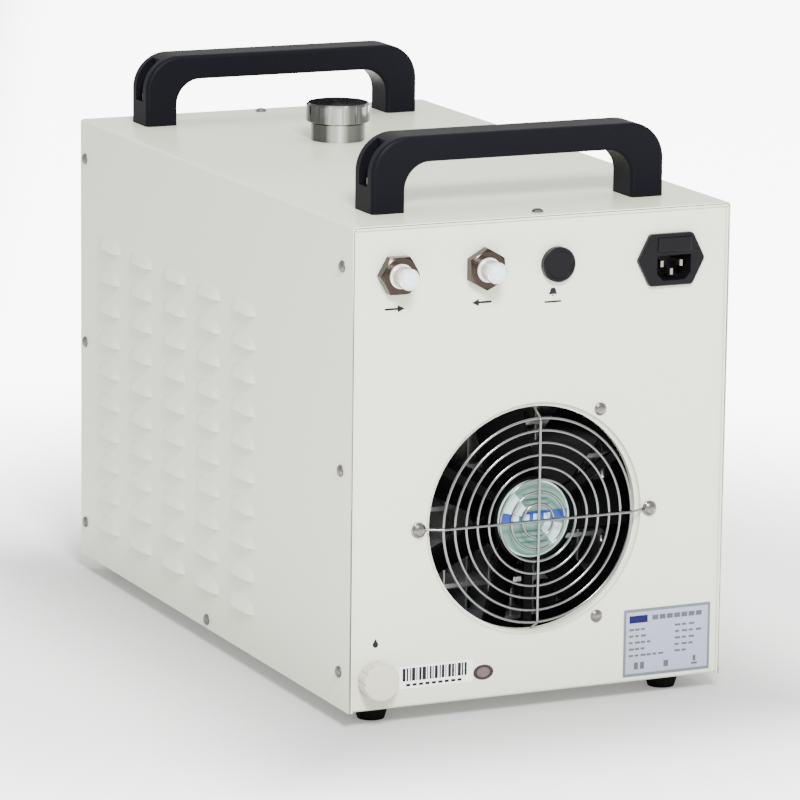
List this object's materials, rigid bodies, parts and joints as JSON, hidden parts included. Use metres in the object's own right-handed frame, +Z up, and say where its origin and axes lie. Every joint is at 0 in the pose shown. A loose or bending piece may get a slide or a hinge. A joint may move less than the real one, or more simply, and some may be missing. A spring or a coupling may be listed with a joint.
{
  "type": "recirculating chiller",
  "caption": "Bench-top recirculating chiller: louvered metal case with carrying handles, rear fan guard, coolant fittings, filler cap, tank, pump and radiator inside.",
  "frame": {"origin": "centre of the overall box in plan, at the bottom of the feet", "axes": "+Z up; -Y is the rear service panel with the fan, +Y the control panel; -X is on the left of a viewer who faces the service panel"},
  "size_m": [0.278, 0.4994, 0.3795],
  "materials": {
    "case_paint": "warm off-white powder coat, semi-gloss",
    "handle_plastic": "satin black",
    "cap_chrome": "polished",
    "nut_nickel": "bright nickel plate",
    "guard_steel": "bright plated wire",
    "screw_steel": "bright zinc",
    "foot_rubber": "matte black",
    "hose_rubber": "matte black",
    "seal_rubber": "matte dark grey",
    "drain_plastic": "cream",
    "black_plastic": "semi-gloss black",
    "plug_plastic": "pale blue translucent",
    "pin_brass": "plated",
    "plate_silver": "printed silver blue",
    "label_white": "white paper",
    "seal_dark": "dark brown film",
    "fan_label_silver": "grey green film",
    "fan_plastic": "black",
    "stator_steel": "dark lacquered steel and winding",
    "radiator_aluminium": "brazed aluminium",
    "tank_plastic": "natural white",
    "pump_plastic": "dark grey",
    "motor_paint": "dark paint",
    "display_black": "gloss black",
    "rocker_green": "green"
  },
  "bodies": {
    "case": {"chassis": "case_paint", "cover": "case_paint", "front_handle": "handle_plastic", "rear_handle": "handle_plastic", "handle_screws": "screw_steel", "handle_nuts": "screw_steel", "foot_rear_left": "foot_rubber", "foot_rear_right": "foot_rubber", "foot_front_left": "foot_rubber", "foot_front_right": "foot_rubber", "foot_screws": "screw_steel", "cover_screws": "screw_steel", "fan_housing": "fan_plastic", "fan_stator": "stator_steel", "fan_label": "fan_label_silver", "fan_guard": "guard_steel", "fan_screws": "screw_steel", "radiator": "radiator_aluminium", "base_screws": "screw_steel", "water_tank": "tank_plastic", "tank_lid": "tank_plastic", "filler_hose": "hose_rubber", "filler_neck": "cap_chrome", "neck_nut": "nut_nickel", "pump_housing": "pump_plastic", "pump_motor": "motor_paint", "suction_hose": "hose_rubber", "delivery_hose": "hose_rubber", "inlet_hose": "hose_rubber", "return_hose": "hose_rubber", "drain_hose": "hose_rubber", "hose_clamps": "screw_steel", "flow_switch": "pump_plastic", "inlet_fitting": "nut_nickel", "inlet_nut": "nut_nickel", "outlet_fitting": "nut_nickel", "outlet_nut": "nut_nickel", "alarm_socket": "black_plastic", "mains_inlet": "black_plastic", "mains_pins": "pin_brass", "drain_spout": "drain_plastic", "power_switch": "black_plastic", "display": "display_black", "rating_plate": "plate_silver", "bar_label": "label_white", "seal_label": "seal_dark"},
    "fan": {"fan_rotor": "fan_plastic", "fan_shaft": "screw_steel"},
    "pump_drive": {"pump_impeller": "pump_plastic", "pump_shaft": "screw_steel"},
    "cap_seal": {"filler_gasket": "seal_rubber"},
    "cap": {"filler_cap": "cap_chrome"},
    "drain_cap_seal": {"drain_seal": "seal_rubber"},
    "drain_cap_body": {"drain_cap": "drain_plastic"},
    "inlet_plug_body": {"inlet_plug": "plug_plastic"},
    "outlet_plug_body": {"outlet_plug": "plug_plastic"},
    "alarm_cap_body": {"alarm_cap": "black_plastic"},
    "fuse_drawer_body": {"fuse_drawer": "black_plastic"},
    "rocker": {"power_rocker": "rocker_green"},
    "paddle": {"flow_paddle": "drain_plastic"}
  },
  "joints": [
    {"name": "fan_spin", "type": "hinge", "parent": "case", "child": "fan", "pos_m": [-0.0032, -0.20405, 0.1294], "axis": [0, 1, 0], "continuous": true},
    {"name": "pump_spin", "type": "hinge", "parent": "case", "child": "pump_drive", "pos_m": [-0.0145, -0.04745, 0.06], "axis": [0, 1, 0], "continuous": true},
    {"name": "filler_cap_rise", "type": "slide", "parent": "case", "child": "cap_seal", "axis": [0, 0, 1], "range_m": [0, 0.0096]},
    {"name": "filler_cap_turn", "type": "hinge", "parent": "cap_seal", "child": "cap", "pos_m": [0, 0.09755, 0.35], "axis": [0, 0, 1], "range_deg": [0, 1080]},
    {"name": "drain_cap_rise", "type": "slide", "parent": "case", "child": "drain_cap_seal", "axis": [0, -1, 0], "range_m": [0, 0.01]},
    {"name": "drain_cap_turn", "type": "hinge", "parent": "drain_cap_seal", "child": "drain_cap_body", "pos_m": [-0.116, -0.23405, 0.033], "axis": [0, -1, 0], "range_deg": [0, 1440]},
    {"name": "inlet_plug_pull", "type": "slide", "parent": "case", "child": "inlet_plug_body", "axis": [0, -1, 0], "range_m": [0, 0.02]},
    {"name": "outlet_plug_pull", "type": "slide", "parent": "case", "child": "outlet_plug_body", "axis": [0, -1, 0], "range_m": [0, 0.02]},
    {"name": "alarm_cap_pull", "type": "slide", "parent": "case", "child": "alarm_cap_body", "axis": [0, -1, 0], "range_m": [0, 0.02]},
    {"name": "fuse_drawer_pull", "type": "slide", "parent": "case", "child": "fuse_drawer_body", "axis": [0, -1, 0], "range_m": [0, 0.016]},
    {"name": "power_rocker_tilt", "type": "hinge", "parent": "case", "child": "rocker", "pos_m": [0.092, 0.24265, 0.262], "axis": [1, 0, 0], "range_deg": [-14, 0]},
    {"name": "flow_paddle_swing", "type": "hinge", "parent": "case", "child": "paddle", "pos_m": [-0.0425, -0.19715, 0.3028], "axis": [1, 0, 0], "range_deg": [-20, 0], "stiffness_Nm_per_rad": 0.0002}
  ],
  "couplings": [
    {"joint": "filler_cap_rise", "follows": "filler_cap_turn", "m_per_rad": 0.0005093},
    {"joint": "drain_cap_rise", "follows": "drain_cap_turn", "m_per_rad": 0.00039789}
  ]
}
